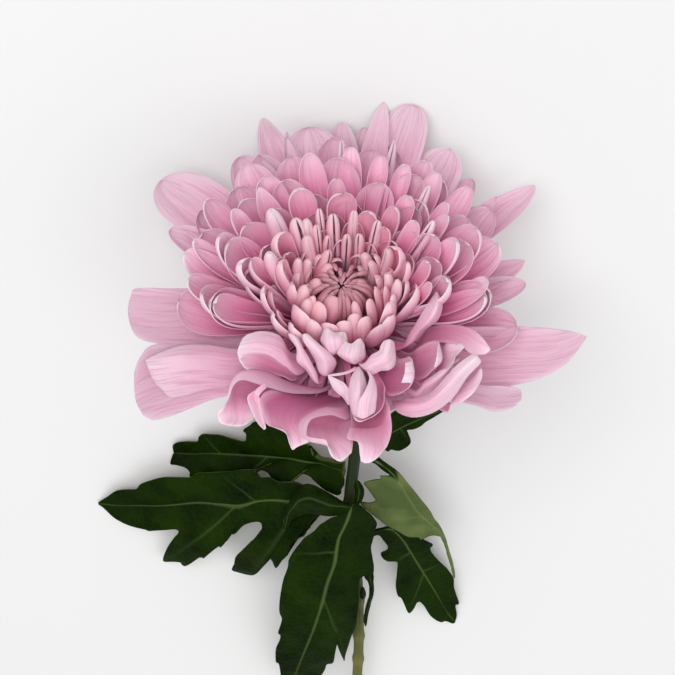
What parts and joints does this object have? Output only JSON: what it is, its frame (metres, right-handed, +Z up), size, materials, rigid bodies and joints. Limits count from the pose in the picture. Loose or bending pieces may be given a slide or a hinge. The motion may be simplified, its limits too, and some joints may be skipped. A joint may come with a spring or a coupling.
{
  "type": "disbud chrysanthemum",
  "caption": "Large double chrysanthemum bloom in layered mauve-pink petals on a short cut stem with lobed dark green leaves, lying on its side.",
  "frame": {"origin": "centre of the footprint on the surface that the flower lies on", "axes": "+Z up from the surface; +Y along the stem from its cut end to the bloom; the bloom faces up and towards +Y"},
  "size_m": [0.1616, 0.3086, 0.0959],
  "materials": {
    "petal": "matte",
    "bract": "matte",
    "stem": "satin",
    "leaf": "matte"
  },
  "bodies": {
    "root": {"bloom": "petal", "involucre": "bract", "stem": "stem", "leaf_left": "leaf", "leaf_rear_left": "leaf", "leaf_front": "leaf", "leaf_right": "leaf", "leaf_lower_right": "leaf", "leaf_rear_right": "leaf"}
  },
  "joints": []
}
